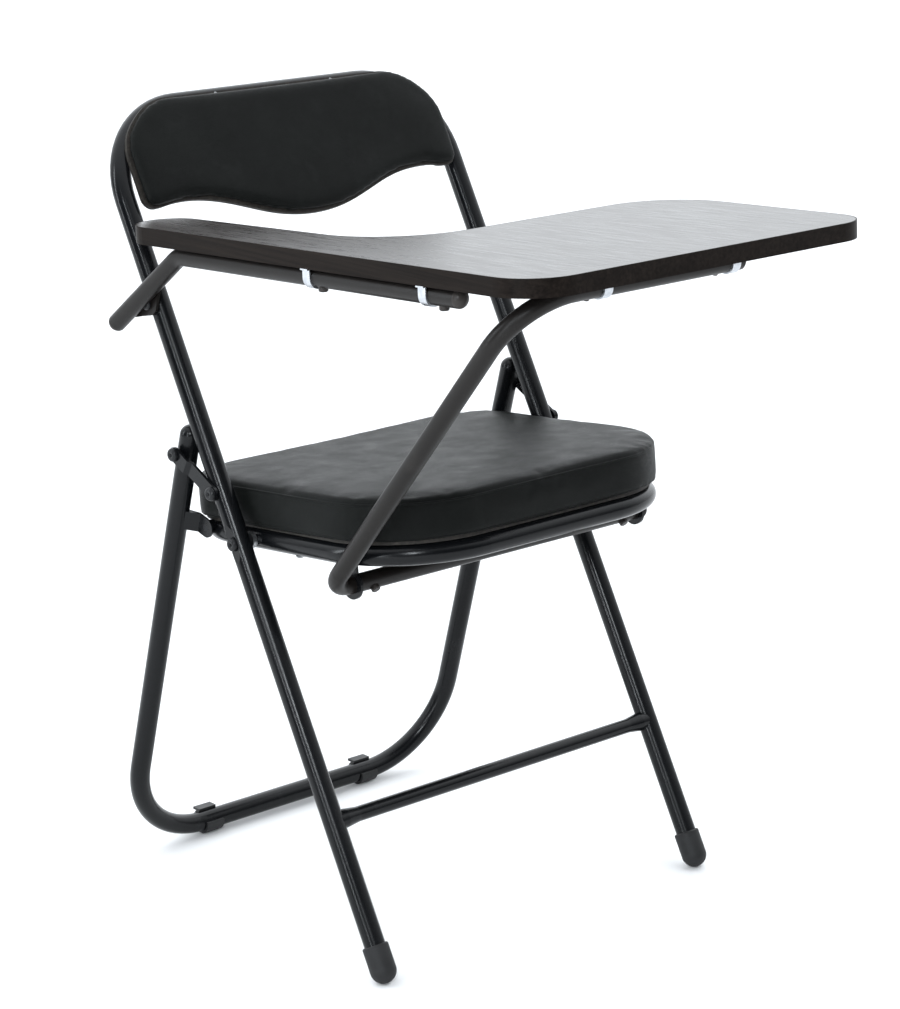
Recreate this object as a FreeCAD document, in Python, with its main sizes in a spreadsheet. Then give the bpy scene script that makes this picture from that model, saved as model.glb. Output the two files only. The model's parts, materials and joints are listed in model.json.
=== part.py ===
"""Folding student desk chair: tube frame, padded seat and back, and a writing board on a swinging arm.

The chair faces -Y, the sitter's right is -X, and the origin lies on the floor under the middle of the
front tubes. Five tilted planes carry the shapes: the front frame, the rear legs, the seat, the board
support and the writing board. Each is built flat in its own plane and then set in place.
"""
import FreeCAD, Part
import math
import os

import Sketcher

V = FreeCAD.Vector
doc = FreeCAD.newDocument("student_desk_chair")

# ---------------------------------------------------------------- driving dimensions (mm, degrees)
DIMENSIONS = {
    # front frame: one bent tube, leaning back, with a crossbar
    "frame_lean": 29.09,
    "frame_half": 213,
    "frame_top": 897.5,
    "frame_bend": 94,
    "frame_start": 17,
    "tube_radius": 10.5,
    "tube_wall": 1.5,
    "crossbar_height": 163.2,
    "crossbar_radius": 7.5,
    "crossbar_flare": 9.6,
    "flare_length": 16,
    "dimple_radius": 81,
    "dimple_depth": 2.4,
    "foot_radius": 13,
    "foot_length": 38,
    "foot_centre": 14.4,
    # folding pivots, as Y and Z in the side view
    "seat_pivot_y": 217.62,
    "seat_pivot_z": 391.15,
    "link_pivot_y": 243.47,
    "link_pivot_z": 437.62,
    "leg_pivot_y": 299.16,
    "leg_pivot_z": 466.11,
    "ear_pivot_y": 287.37,
    "ear_pivot_z": 388.45,
    "axle_y": 78.99,
    "axle_z": 376.5,
    "board_pivot_y": -182,
    "board_pivot_z": 695.6,
    "arm_pivot_y": 339.4,
    "arm_pivot_z": 610,
    "rivet_radius": 4,
    "rivet_head": 7.5,
    "running_gap": 0.1,
    # rear legs
    "rear_bar_y": 420.3,
    "rear_bar_z": 13,
    "rear_lean": 14.98,
    "rear_bend": 98,
    "rear_length": 488,
    "bracket_height": 20,
    "ear_inner": 200.3,
    "ear_plate": 1.9,
    "plate": 3,
    "glide_x": 108,
    "glide_length": 22,
    "glide_radius": 13.2,
    # links between the frame and the rear legs
    "link_angle": 27.09,
    "link_length": 62.55,
    "link_width": 15,
    "link_inner": 224,
    "link_joggle": 3.2,
    # seat
    "seat_tilt": 6,
    "ring_half": 187,
    "ring_front": 214.8,
    "ring_rear": 108,
    "ring_front_bend": 100,
    "ring_rear_bend": 60,
    "cushion_half": 200,
    "cushion_front": 225.8,
    "cushion_rear": 116,
    "cushion_front_corner": 108,
    "cushion_rear_corner": 50,
    "cushion_bottom": 12,
    "cushion_top": 58,
    "cushion_edge": 7,
    "seat_board_inset": 8,
    "seat_board_bottom": 10.8,
    "seat_board_thick": 9,
    "soft_gap": 0.3,
    # board support: axle under the seat, diagonal, upper tube under the board
    "support_angle": 39.28,
    "support_length": 412.24,
    "support_side": 215,
    "support_axle_end": 196,
    "support_upper_end": 52,
    "support_lower_bend": 25,
    "support_upper_bend": 62,
    "arm_radius": 9,
    "eye_x": 187,
    "eye_radius": 14.5,
    "peg_radius": 4.6,
    "peg_length": 12.5,
    "axle_peg_x": 165,
    # writing board and arm tube
    "board_tilt": 3.48,
    "board_height": 710.92,
    "board_thick": 17,
    "band_thick": 1.2,
    "arm_x": 234.3,
    "arm_drop": 26.2,
    "arm_front": 124,
    "elbow_y": 277.2,
    "tail_y": 387.9,
    "tail_drop": 101.9,
    "elbow_bend": 24,
    "clamp_width": 10,
    "clamp_thick": 1.6,
    "clamp_ear": 26,
    "support_drop": 26.29,
    "support_y": -180.7,
    # backrest
    "back_half": 204,
    "back_top": 900,
    "back_low": 788,
    "back_gap": 10.7,
    "back_board": 4,
    "back_pad": 9,
    "back_edge": 6,
    "screw_radius": 2,
    "screw_head": 4.5,
}

dims = doc.addObject("Spreadsheet::Sheet", "dims")
for row, (alias, number) in enumerate(DIMENSIONS.items(), start=1):
    dims.set(f"A{row}", alias)
    dims.set(f"B{row}", str(number))
    dims.setAlias(f"B{row}", alias)
doc.recompute()


EDGE_MATCH = 1e-3  # how near an edge lies to the side that it bounds
DOME_FLAT = 1  # radius of the small flat on top of a domed head or plug


# ---------------------------------------------------------------- helpers
def value(expression):
    """The number that an expression, or a plain number, stands for."""
    return float(dims.evalExpression(str(expression)))


def bind(item, path, expression):
    """Drive a property of an object with an expression on the sheet."""
    item.setExpression(path, str(expression))


def place(item, base, axis=(0, 0, 1), angle=0):
    """Put an object at base, turned about axis, with both driven by the sheet."""
    item.Placement = FreeCAD.Placement(V(), FreeCAD.Rotation(V(*axis), max(value(angle), 1e-3)))
    for letter, expression in zip("xyz", base):
        bind(item, f"Placement.Base.{letter}", expression)
    if angle != 0:
        bind(item, "Placement.Rotation.Angle", angle)
    return item


def in_frame(item):
    return place(item, (0, 0, 0), (-1, 0, 0), "dims.frame_lean")


def in_legs(item):
    return place(item, (0, "dims.rear_bar_y", "dims.rear_bar_z"), (1, 0, 0), "dims.rear_lean")


def in_seat(item):
    return place(item, (0, "dims.seat_pivot_y", "dims.seat_pivot_z"), (-1, 0, 0), "dims.seat_tilt")


def in_link(item):
    return place(item, (0, "dims.link_pivot_y", "dims.link_pivot_z"), (1, 0, 0), "dims.link_angle")


def in_support(item):
    return place(item, (0, "dims.axle_y", "dims.axle_z"), (1, 0, 0), "dims.support_angle")


def in_board(item):
    return place(item, (0, 0, "dims.board_height"), (-1, 0, 0), "dims.board_tilt")


def local(point, base, angle):
    """Y and Z, as expressions, of a named pivot in a plane at base that is turned by angle about +X."""
    across = f"(dims.{point}_y - {base[0]})"
    up = f"(dims.{point}_z - {base[1]})"
    return (
        f"({across} * cos({angle}) + {up} * sin({angle}))",
        f"({up} * cos({angle}) - {across} * sin({angle}))",
    )


def body(name):
    return doc.addObject("PartDesign::Body", name)


def sketch_on(owner, name, plane, offset=None):
    """A sketch on one of a body's own origin planes, moved along the plane's normal by offset."""
    sketch = owner.newObject("Sketcher::SketchObject", name)
    support = next(item for item in owner.Origin.OriginFeatures if item.Role == plane)
    sketch.AttachmentSupport = [(support, "")]
    sketch.MapMode = "FlatFace"
    if offset is not None:
        bind(sketch, "AttachmentOffset.Base.z", offset)
    return sketch


def pin_point(sketch, geometry, position, point):
    """Fix one point of the sketch at coordinates driven by the sheet."""
    for kind, axis, expression in (("DistanceX", -2, point[0]), ("DistanceY", -1, point[1])):
        number = value(expression)
        if abs(number) < 1e-6:
            sketch.addConstraint(Sketcher.Constraint("PointOnObject", geometry, position, axis))
            continue
        index = sketch.addConstraint(Sketcher.Constraint(kind, -1, 1, geometry, position, number))
        bind(sketch, f"Constraints[{index}]", expression)


def circle(sketch, centre, radius):
    shape = Part.Circle(V(value(centre[0]), value(centre[1]), 0), V(0, 0, 1), value(radius))
    index = sketch.addGeometry(shape, False)
    pin_point(sketch, index, 3, centre)
    limit = sketch.addConstraint(Sketcher.Constraint("Radius", index, value(radius)))
    bind(sketch, f"Constraints[{limit}]", radius)


def polygon(sketch, points):
    """A closed outline of straight edges, each corner driven by the sheet."""
    places = [V(value(across), value(up), 0) for across, up in points]
    lines = []
    for start, end in zip(places, places[1:] + places[:1]):
        lines.append(sketch.addGeometry(Part.LineSegment(start, end), False))
    for number, line in enumerate(lines):
        following = lines[(number + 1) % len(lines)]
        sketch.addConstraint(Sketcher.Constraint("Coincident", line, 2, following, 1))
        pin_point(sketch, line, 1, points[number])


def rectangle(sketch, low, high):
    polygon(sketch, [low, (high[0], low[1]), high, (low[0], high[1])])


def bent_path(sketch, corners, radii, closed=False):
    """Straight runs through the corners, with a tangent arc of the given radius at each bend."""
    places = [V(value(across), value(up), 0) for across, up in corners]
    count = len(places)
    bends = range(count) if closed else range(1, count - 1)
    before, after, arcs = {}, {}, {}
    for bend in bends:
        here = places[bend]
        back = (places[bend - 1] - here).normalize()
        ahead = (places[(bend + 1) % count] - here).normalize()
        half = back.getAngle(ahead) / 2
        radius = value(radii[bend])
        reach = radius / math.tan(half)
        before[bend] = here + back * reach
        after[bend] = here + ahead * reach
        middle_way = (back + ahead).normalize()
        middle = here + middle_way * (radius / math.sin(half) - radius)
        arcs[bend] = (middle, back.cross(ahead).z < 0)
    runs = range(count) if closed else range(count - 1)
    lines = {}
    for run in runs:
        following = (run + 1) % count
        start = after.get(run, places[run])
        end = before.get(following, places[following])
        lines[run] = sketch.addGeometry(Part.LineSegment(start, end), False)
    for bend in bends:
        middle, turns_left = arcs[bend]
        arc = sketch.addGeometry(Part.Arc(before[bend], middle, after[bend]), False)
        first, last = (1, 2) if turns_left else (2, 1)
        inward = lines[(bend - 1) % count]
        outward = lines[bend]
        sketch.addConstraint(Sketcher.Constraint("Tangent", inward, 2, arc, first))
        sketch.addConstraint(Sketcher.Constraint("Tangent", arc, last, outward, 1))
        limit = sketch.addConstraint(Sketcher.Constraint("Radius", arc, value(radii[bend])))
        bind(sketch, f"Constraints[{limit}]", radii[bend])
        corner = sketch.addGeometry(Part.Point(places[bend]), True)
        pin_point(sketch, corner, 1, corners[bend])
        sketch.addConstraint(Sketcher.Constraint("PointOnObject", corner, 1, inward))
        sketch.addConstraint(Sketcher.Constraint("PointOnObject", corner, 1, outward))
    if not closed:
        pin_point(sketch, lines[0], 1, corners[0])
        pin_point(sketch, lines[count - 2], 2, corners[-1])


def pad(owner, name, sketch, length, middle=False, backwards=False):
    feature = owner.newObject("PartDesign::Pad", name)
    feature.Profile = sketch
    bind(feature, "Length", length)
    feature.Midplane = middle
    feature.Reversed = backwards
    return feature


def round_far_edge(owner, name, side, radius):
    """Round the rim of the face that bounds a body on one side, such as ZMax or YMin."""
    doc.recompute()
    base = owner.Tip
    level = getattr(base.Shape.BoundBox, side)
    axis = side[0]
    rim = [
        f"Edge{number}" for number, edge in enumerate(base.Shape.Edges, start=1)
        if abs(getattr(edge.BoundBox, f"{axis}Min") - level) < EDGE_MATCH
        and abs(getattr(edge.BoundBox, f"{axis}Max") - level) < EDGE_MATCH
    ]
    rounding = owner.newObject("PartDesign::Fillet", f"{name}_rounding")
    rounding.Base = (base, rim)
    bind(rounding, "Radius", radius)


def pocket_through(owner, name, sketch):
    feature = owner.newObject("PartDesign::Pocket", name)
    feature.Profile = sketch
    feature.Type = "ThroughAll"
    feature.Midplane = True
    return feature


def pipe(owner, name, path, profile):
    feature = owner.newObject("PartDesign::AdditivePipe", name)
    feature.Profile = profile
    feature.Spine = path
    return feature


def cylinder(name, radius, length, base, axis="X"):
    """A plain round bar from base along +X, +Y or +Z."""
    item = doc.addObject("Part::Cylinder", name)
    bind(item, "Radius", radius)
    bind(item, "Height", length)
    turns = {"X": ((0, 1, 0), 90), "Y": ((-1, 0, 0), 90), "Z": ((0, 0, 1), 30)}
    direction, angle = turns[axis]
    return place(item, base, direction, angle)


def cut(name, base, tool):
    item = doc.addObject("Part::Cut", name)
    item.Base = base
    item.Tool = tool
    return item


def common(name, base, tool):
    item = doc.addObject("Part::Common", name)
    item.Base = base
    item.Tool = tool
    return item


def fuse(name, items):
    item = doc.addObject("Part::MultiFuse", name)
    item.Shapes = items
    return item


def group(name, items):
    """Identical separate pieces that share one node."""
    item = doc.addObject("Part::Compound", name)
    item.Links = items
    return item


def mirrored(name, source):
    """The same piece on the other side of the mid-plane."""
    item = doc.addObject("Part::Mirroring", name)
    item.Source = source
    item.Normal = V(1, 0, 0)
    return item


def turned(name, points, plane="XY_Plane"):
    """A turned piece: a half section, in X along the axis and Y outwards, revolved about X.

    An entry of three items ends a round stretch: its middle point, its end point and the word arc.
    """
    owner = body(name)
    sketch = sketch_on(owner, f"{name}_section", plane)
    flat = [point if len(point) == 2 else point[1] for point in points]
    places = [V(value(across), value(up), 0) for across, up in flat]
    edges = []
    for number, end in enumerate(places):
        start = places[number - 1]
        if len(points[number]) == 3:
            middle = V(value(points[number][0][0]), value(points[number][0][1]), 0)
            edges.append(sketch.addGeometry(Part.Arc(start, middle, end), False))
        else:
            edges.append(sketch.addGeometry(Part.LineSegment(start, end), False))
    for number, edge in enumerate(edges):
        if len(points[number]) == 2:
            pin_point(sketch, edge, 2, flat[number])
    spin = owner.newObject("PartDesign::Revolution", f"{name}_spin")
    spin.Profile = sketch
    spin.ReferenceAxis = (sketch, ["H_Axis"])
    spin.Angle = 360
    return owner


def pin(name, start, end, shank, head, heights):
    """A pin along X from start to end, with a domed head of the given height beyond each end."""
    inner, outer = heights
    points = [(start, 0)]
    if inner:
        points = [
            (f"{start} - {inner}", 0),
            (f"{start} - {inner}", DOME_FLAT),
            ((f"{start} - {inner} * 0.72", f"{head} * 0.7"), (start, head), "arc"),
        ]
    points += [(start, shank), (end, shank)]
    if outer:
        points += [
            (end, head),
            ((f"{end} + {outer} * 0.72", f"{head} * 0.7"), (f"{end} + {outer}", DOME_FLAT), "arc"),
            (f"{end} + {outer}", 0),
        ]
    else:
        points += [(end, 0)]
    return turned(name, points)


def at(item, across, along, up):
    """Move a piece that was drawn on the X axis to its place in its plane."""
    return place(item, (across, along, up))


def tube_core(name, path, radius, start_plane, centre, offset, radii, corners):
    """A solid bar swept along a bent path, used for the outside or the bore of a tube."""
    owner = body(name)
    line = sketch_on(owner, f"{name}_path", path)
    bent_path(line, corners, radii)
    profile = sketch_on(owner, f"{name}_profile", start_plane, offset)
    circle(profile, centre, radius)
    pipe(owner, f"{name}_pipe", line, profile)
    return owner


def bored_tube(name, path, radius, start_plane, centre, offset, radii, corners):
    """A tube: a bent bar with a second, thinner bar taken out along the same path."""
    outside = tube_core(f"{name}_outside", path, radius, start_plane, centre, offset, radii, corners)
    inside = tube_core(
        f"{name}_bore", path, f"({radius} - dims.tube_wall)", start_plane, centre, offset, radii, corners
    )
    return outside, inside


NODES = {}


def node(name, item):
    """Register a finished piece under its node name."""
    item.Label = name
    NODES[name] = item
    return item


def node_pair(name, item, setter):
    """A right and a left copy of one piece, each in its own node."""
    other = mirrored(f"{name}_copy", item)
    node(f"{name}_left", setter(group(f"{name}_left_side", [item])))
    node(f"{name}_right", setter(group(f"{name}_right_side", [other])))


# pivots in the plane of the piece that carries them
FRAME_BASE = ("0", "0")
SEAT_BASE = ("dims.seat_pivot_y", "dims.seat_pivot_z")
LEG_BASE = ("dims.rear_bar_y", "dims.rear_bar_z")
seat_pivot_on_frame = local("seat_pivot", FRAME_BASE, "-dims.frame_lean")
link_pivot_on_frame = local("link_pivot", FRAME_BASE, "-dims.frame_lean")
ear_pivot_on_seat = local("ear_pivot", SEAT_BASE, "-dims.seat_tilt")
axle_on_seat = local("axle", SEAT_BASE, "-dims.seat_tilt")
ear_pivot_on_leg = local("ear_pivot", LEG_BASE, "dims.rear_lean")
arm_pivot_on_board = local("arm_pivot", ("0", "dims.board_height"), "-dims.board_tilt")
RUNNING_HOLE = "dims.rivet_radius + dims.running_gap"

# where fasteners sit: across or along the part, measured in its own plane
SUPPORT_CLAMPS = ("-121", "40")
ARM_CLAMPS = ("72", "-87")
ARM_PEGS = ("61", "-104")
RING_SCREWS = [("-60", "left"), ("32", "left"), ("-60", "right"), ("32", "right")]
SCREW_OFFSET = "(dims.clamp_ear - 6)"  # from the middle of a clamp to its screws


# ---------------------------------------------------------------- front frame
def back_outline(sketch):
    """The backrest seen from the front: rounded shoulders above, a wave with a low middle below."""
    half, top, low = value("dims.back_half"), value("dims.back_top"), value("dims.back_low")
    shoulder, shoulder_inset, shoulder_cut, corner = 62, 69, 20, 12
    knee_share = 1 - math.cos(math.radians(45))
    rise_along = [(0, -29), (50, -22.5), (97, -7), (140, 2.5), (175, 2), (half - corner, 0)]
    right = [V(across, low + rise, 0) for across, rise in rise_along]
    left = [V(-point.x, point.y, 0) for point in reversed(right[1:])]
    wave = Part.BSplineCurve()
    wave.interpolate(Points=left + right, InitialTangent=V(1, 0, 0), FinalTangent=V(1, 0, 0))
    sketch.addGeometry(wave, False)
    for side in (1, -1):
        start = V(side * half, top - shoulder, 0)
        middle = V(side * (half - shoulder_cut), top - shoulder_cut, 0)
        end = V(side * (half - shoulder_inset), top, 0)
        rounded = Part.BSplineCurve()
        rounded.interpolate(
            Points=[start, middle, end], InitialTangent=V(0, 1, 0), FinalTangent=V(-side, 0, 0)
        )
        foot = V(side * half, low + corner, 0)
        toe = V(side * (half - corner), low, 0)
        knee = V(side * (half - knee_share * corner), low + knee_share * corner, 0)
        sketch.addGeometry(rounded, False)
        sketch.addGeometry(Part.LineSegment(foot, start), False)
        sketch.addGeometry(Part.Arc(foot, knee, toe), False)
    edge = V(half - shoulder_inset, top, 0)
    sketch.addGeometry(Part.LineSegment(V(-edge.x, edge.y, 0), edge), False)


def back_plate(name, front_of, thickness):
    """A plate with the backrest's outline, from front_of towards the sitter."""
    owner = body(name)
    sketch = sketch_on(owner, f"{name}_outline", "XZ_Plane", front_of)
    back_outline(sketch)
    pad(owner, f"{name}_pad", sketch, thickness)
    return owner


BACK_SCREWS = [("75", "dims.frame_top"), ("185.4", "dims.frame_top - 27.6")]
BACK_SCREW_PLACES = [(f"{side} * {across}", up) for across, up in BACK_SCREWS for side in (1, -1)]


def make_front_frame():
    corners = [
        ("-dims.frame_half", "dims.frame_start"),
        ("-dims.frame_half", "dims.frame_top"),
        ("dims.frame_half", "dims.frame_top"),
        ("dims.frame_half", "dims.frame_start"),
    ]
    radii = [None, "dims.frame_bend", "dims.frame_bend", None]
    outside, inside = bored_tube(
        "frame", "XZ_Plane", "dims.tube_radius", "XY_Plane", ("-dims.frame_half", "0"), "dims.frame_start",
        radii, corners,
    )
    reach = "(dims.frame_half + dims.tube_radius - dims.dimple_depth + dims.dimple_radius)"
    for owner, wall in ((outside, "0"), (inside, "dims.tube_wall")):
        sketch = sketch_on(owner, f"{owner.Name}_dimples", "XZ_Plane")
        for side in (1, -1):
            circle(sketch, (f"{side} * {reach}", seat_pivot_on_frame[1]), f"dims.dimple_radius + {wall}")
        pocket_through(owner, f"{owner.Name}_press", sketch)
    tube = cut("frame_tube_hollow", outside, inside)
    drills = [
        cylinder(f"frame_drill_{number}", "dims.rivet_radius", "600", ("-300", "0", up))
        for number, up in enumerate((seat_pivot_on_frame[1], link_pivot_on_frame[1]))
    ]
    drills += [
        cylinder(f"back_drill_{number}", "dims.screw_radius", "40", (across, "-20", up), "Y")
        for number, (across, up) in enumerate(BACK_SCREW_PLACES)
    ]
    node("back_frame_tube", in_frame(cut("frame_tube_drilled", tube, fuse("frame_drills", drills))))

    # crossbar: a round bar whose ends are flared and cut to fit the tubes they are welded to
    inner_face = "(dims.frame_half - dims.tube_radius)"
    flare_end = f"({inner_face} - 3)"
    neck = f"({flare_end} - dims.flare_length)"
    stock = at(turned("bar_stock", [
        ("-dims.frame_half", 0), ("-dims.frame_half", "dims.crossbar_flare"),
        (f"-{flare_end}", "dims.crossbar_flare"), (f"-{neck}", "dims.crossbar_radius"),
        (neck, "dims.crossbar_radius"), (flare_end, "dims.crossbar_flare"),
        ("dims.frame_half", "dims.crossbar_flare"), ("dims.frame_half", 0),
    ]), 0, 0, "dims.crossbar_height")
    tubes = [
        cylinder(f"bar_cope_{number}", "dims.tube_radius", "60",
                 (f"{side} * dims.frame_half", "0", "dims.crossbar_height - 30"), "Z")
        for number, side in enumerate((1, -1))
    ]
    node("crossbar", in_frame(cut("crossbar_cut", stock, fuse("bar_copes", tubes))))

    # foot caps: domed plastic cups over the tube ends, worn flat where they meet the floor
    for side, word in ((1, "left"), (-1, "right")):
        rim = "dims.foot_centre + dims.foot_length - dims.foot_radius"
        cup = turned(f"foot_cup_{word}", [
            ("dims.foot_centre - dims.foot_radius", 0),
            (("dims.foot_centre - dims.foot_radius * 0.70711", "dims.foot_radius * 0.70711"),
             ("dims.foot_centre", "dims.foot_radius"), "arc"),
            (f"{rim} - 1.2", "dims.foot_radius"),
            (rim, "dims.foot_radius - 1.2"),
            (rim, "dims.tube_radius"),
            ("dims.frame_start", "dims.tube_radius"),
            ("dims.frame_start", 0),
        ])
        place(cup, (0, 0, 0), (0, -1, 0), 90)
        stand = group(f"foot_stand_{word}", [cup])
        place(stand, (f"{side} * dims.frame_half", 0, 0), (-1, 0, 0), "dims.frame_lean")
        floor = doc.addObject("Part::Box", f"foot_floor_{word}")
        for size in ("Length", "Width", "Height"):
            bind(floor, size, 100)
        place(floor, (f"{side} * dims.frame_half - 50", -50, -100))
        node(f"foot_cap_{word}", cut(f"foot_cap_{word}_cut", stand, floor))

    node("backrest_board", in_frame(cut(
        "back_board_drilled",
        back_plate("back_board", "dims.back_gap", "dims.back_board"),
        fuse("back_board_drills", [
            cylinder(f"back_pilot_{number}", "dims.screw_radius", "20",
                     (across, "-dims.back_gap - 4", up), "Y")
            for number, (across, up) in enumerate(BACK_SCREW_PLACES)
        ]),
    )))
    cushion = back_plate("back_cushion", "dims.back_gap + dims.back_board + dims.soft_gap", "dims.back_pad")
    round_far_edge(cushion, "back_cushion", "YMin", "dims.back_edge")
    node("backrest_pad", in_frame(group("back_cushion_group", [cushion])))

    screws = []
    for number, (across, up) in enumerate(BACK_SCREW_PLACES):
        screw = pin(f"back_screw_{number}", "-dims.back_gap - 3.8", "dims.tube_radius",
                    "dims.screw_radius", "dims.screw_head", (0, 2.4))
        place(screw, (across, 0, up), (0, 0, 1), 90)
        screws.append(screw)
    node("backrest_screws", in_frame(group("back_screw_group", screws)))

    # rivets and washers of the seat pivot and of the front end of the links
    far = "(dims.frame_half + dims.tube_radius - dims.dimple_depth + 0.3)"
    near = "(dims.ring_half - dims.tube_radius)"
    rivet = at(pin("seat_rivet", near, far, "dims.rivet_radius", "dims.rivet_head - 1", (2, 1.9)),
               0, 0, seat_pivot_on_frame[1])
    rivets = group("seat_rivet_group", [rivet, mirrored("seat_rivet_right", rivet)])
    node("seat_pivot_rivets", in_frame(rivets))
    ring = "(dims.ring_half + dims.tube_radius + 0.15)"
    washer = at(turned("seat_washer", [
        (ring, "dims.rivet_radius"), (ring, 8), (inner_face, 8), (inner_face, "dims.rivet_radius"),
    ]), 0, 0, seat_pivot_on_frame[1])
    node("seat_pivot_washers", in_frame(group("seat_washer_group", [washer, mirrored("washer_right", washer)])))
    link_face = "(dims.link_inner + dims.plate + 0.2)"
    rivet = at(pin("front_link_rivet", inner_face, link_face, "dims.rivet_radius", "dims.rivet_head - 1",
                   (0, 2.4)), 0, 0, link_pivot_on_frame[1])
    node("link_front_rivets", in_frame(group("front_link_group", [rivet, mirrored("front_link_right", rivet)])))


# ---------------------------------------------------------------- rear legs
def make_rear_legs():
    top = "dims.rear_length"
    corners = [
        ("-dims.frame_half", top), ("-dims.frame_half", "0"), ("dims.frame_half", "0"), ("dims.frame_half", top),
    ]
    radii = [None, "dims.rear_bend", "dims.rear_bend", None]
    outside, inside = bored_tube(
        "legs", "XZ_Plane", "dims.tube_radius", "XY_Plane", ("-dims.frame_half", "0"), top, radii, corners,
    )
    shells = []
    for radius, word, core in (
        ("dims.tube_radius", "outer", outside), ("(dims.tube_radius - dims.tube_wall)", "inner", inside),
    ):
        domes = []
        for side in (1, -1):
            dome = doc.addObject("Part::Sphere", f"leg_dome_{word}_{'left' if side > 0 else 'right'}")
            bind(dome, "Radius", radius)
            domes.append(place(dome, (f"{side} * dims.frame_half", 0, top)))
        shells.append(fuse(f"legs_{word}", [core] + domes))
    node("rear_leg_tube", in_legs(cut("rear_legs_hollow", *shells)))

    # brackets: a bent strap welded to each leg, whose ear stands beside the seat ring
    ear_y, ear_z = ear_pivot_on_leg
    inner = "dims.ear_inner"
    outer = "dims.ear_inner + dims.ear_plate"
    strap_body = body("bracket_strap")
    sketch = sketch_on(strap_body, "bracket_plan", "XY_Plane", f"{ear_z} - dims.bracket_height / 2")
    polygon(sketch, [
        (inner, f"{ear_y} - 12"), (outer, f"{ear_y} - 12"), (outer, f"{ear_y} + 11"),
        ("dims.frame_half + 1", "-10"), ("dims.frame_half + 1", "-5"), ("dims.frame_half - 4", "-5"),
        (inner, f"{ear_y} + 13"),
    ])
    pad(strap_body, "bracket_pad", sketch, "dims.bracket_height")
    side_body = body("bracket_side")
    side_sketch = sketch_on(side_body, "bracket_outline", "YZ_Plane")
    round_end = "dims.bracket_height / 2"
    circle(side_sketch, ear_pivot_on_leg, round_end)
    pad(side_body, "bracket_round", side_sketch, "dims.frame_half + 10")
    tail_sketch = sketch_on(side_body, "bracket_tail", "YZ_Plane")
    rectangle(tail_sketch, (ear_y, f"{ear_z} - {round_end}"), ("0", f"{ear_z} + {round_end}"))
    pad(side_body, "bracket_straight", tail_sketch, "dims.frame_half + 10")
    blank = common("bracket_blank", strap_body, side_body)
    cutters = fuse("bracket_cutters", [
        cylinder("bracket_cope", "dims.tube_radius", "60", ("dims.frame_half", "0", f"{ear_z} - 30"), "Z"),
        cylinder("bracket_hole", RUNNING_HOLE, "40", ("dims.ear_inner - 20", ear_y, ear_z)),
    ])
    node_pair("rear_bracket", cut("bracket_cut", blank, cutters), in_legs)

    # glides: plastic saddles under the floor bar, with a lip at the back
    for side, word in ((1, "left"), (-1, "right")):
        owner = body(f"glide_{word}_body")
        start = f"{side} * dims.glide_x - dims.glide_length / 2"
        sketch = sketch_on(owner, f"glide_{word}_sleeve", "YZ_Plane", start)
        circle(sketch, ("0", "0"), "dims.glide_radius")
        circle(sketch, ("0", "0"), "dims.tube_radius")
        pad(owner, f"glide_{word}_pad", sketch, "dims.glide_length")
        mouth = sketch_on(owner, f"glide_{word}_mouth", "YZ_Plane", start)
        rectangle(mouth, ("-30", "2"), ("3", "30"))
        pocket_through(owner, f"glide_{word}_opening", mouth)
        lip = sketch_on(owner, f"glide_{word}_lip", "YZ_Plane", start)
        rectangle(lip, ("2", "dims.tube_radius + 0.1"), ("13", "dims.glide_radius"))
        pad(owner, f"glide_{word}_lip_pad", lip, "dims.glide_length")
        raised = place(owner, (0, "dims.rear_bar_y", "dims.rear_bar_z"))
        floor = doc.addObject("Part::Box", f"glide_floor_{word}")
        for size in ("Length", "Width", "Height"):
            bind(floor, size, 60)
        place(floor, (f"{side} * dims.glide_x - 30", "dims.rear_bar_y - 30", -60))
        node(f"glide_{word}", cut(f"glide_{word}_cut", raised, floor))


# ---------------------------------------------------------------- links
def make_links():
    inner = "dims.link_inner"
    step = "dims.link_joggle"
    end = "dims.link_length + dims.link_width / 2"
    start = "-dims.link_width / 2"
    strip = body("link_strip")
    sketch = sketch_on(strip, "link_plan", "XY_Plane")
    polygon(sketch, [
        (inner, start), (inner, "39"), (f"{inner} + {step}", "44"), (f"{inner} + {step}", end),
        (f"{inner} + {step} + dims.plate", end), (f"{inner} + {step} + dims.plate", "42.8"),
        (f"{inner} + dims.plate", "37.8"), (f"{inner} + dims.plate", start),
    ])
    pad(strip, "link_pad", sketch, "dims.link_width", middle=True)
    slot = body("link_slot")
    for name, along in (("front", "0"), ("rear", "dims.link_length")):
        sketch = sketch_on(slot, f"link_{name}_end", "YZ_Plane")
        circle(sketch, (along, "0"), "dims.link_width / 2")
        pad(slot, f"link_{name}_pad", sketch, "dims.frame_half + 30")
        if name == "front":
            middle = sketch_on(slot, "link_middle", "YZ_Plane")
            rectangle(middle, ("0", "-dims.link_width / 2"), ("dims.link_length", "dims.link_width / 2"))
            pad(slot, "link_middle_pad", middle, "dims.frame_half + 30")
    blank = common("link_blank", strip, slot)
    holes = fuse("link_holes", [
        cylinder("link_front_hole", RUNNING_HOLE, "30", ("dims.link_inner - 5", "0", "0")),
        cylinder("link_rear_hole", "dims.rivet_radius", "30", ("dims.link_inner - 5", "dims.link_length", "0")),
    ])
    node_pair("link", cut("link_cut", blank, holes), in_link)
    outer = f"({inner} + {step} + dims.plate)"
    rivet = at(pin("leg_rivet", f"({inner} + 0.1)", outer, "dims.rivet_radius", "dims.rivet_head - 1",
                   (0, 2.4)), 0, "dims.link_length", 0)
    node_pair("link_rear_rivet", rivet, in_link)


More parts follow.
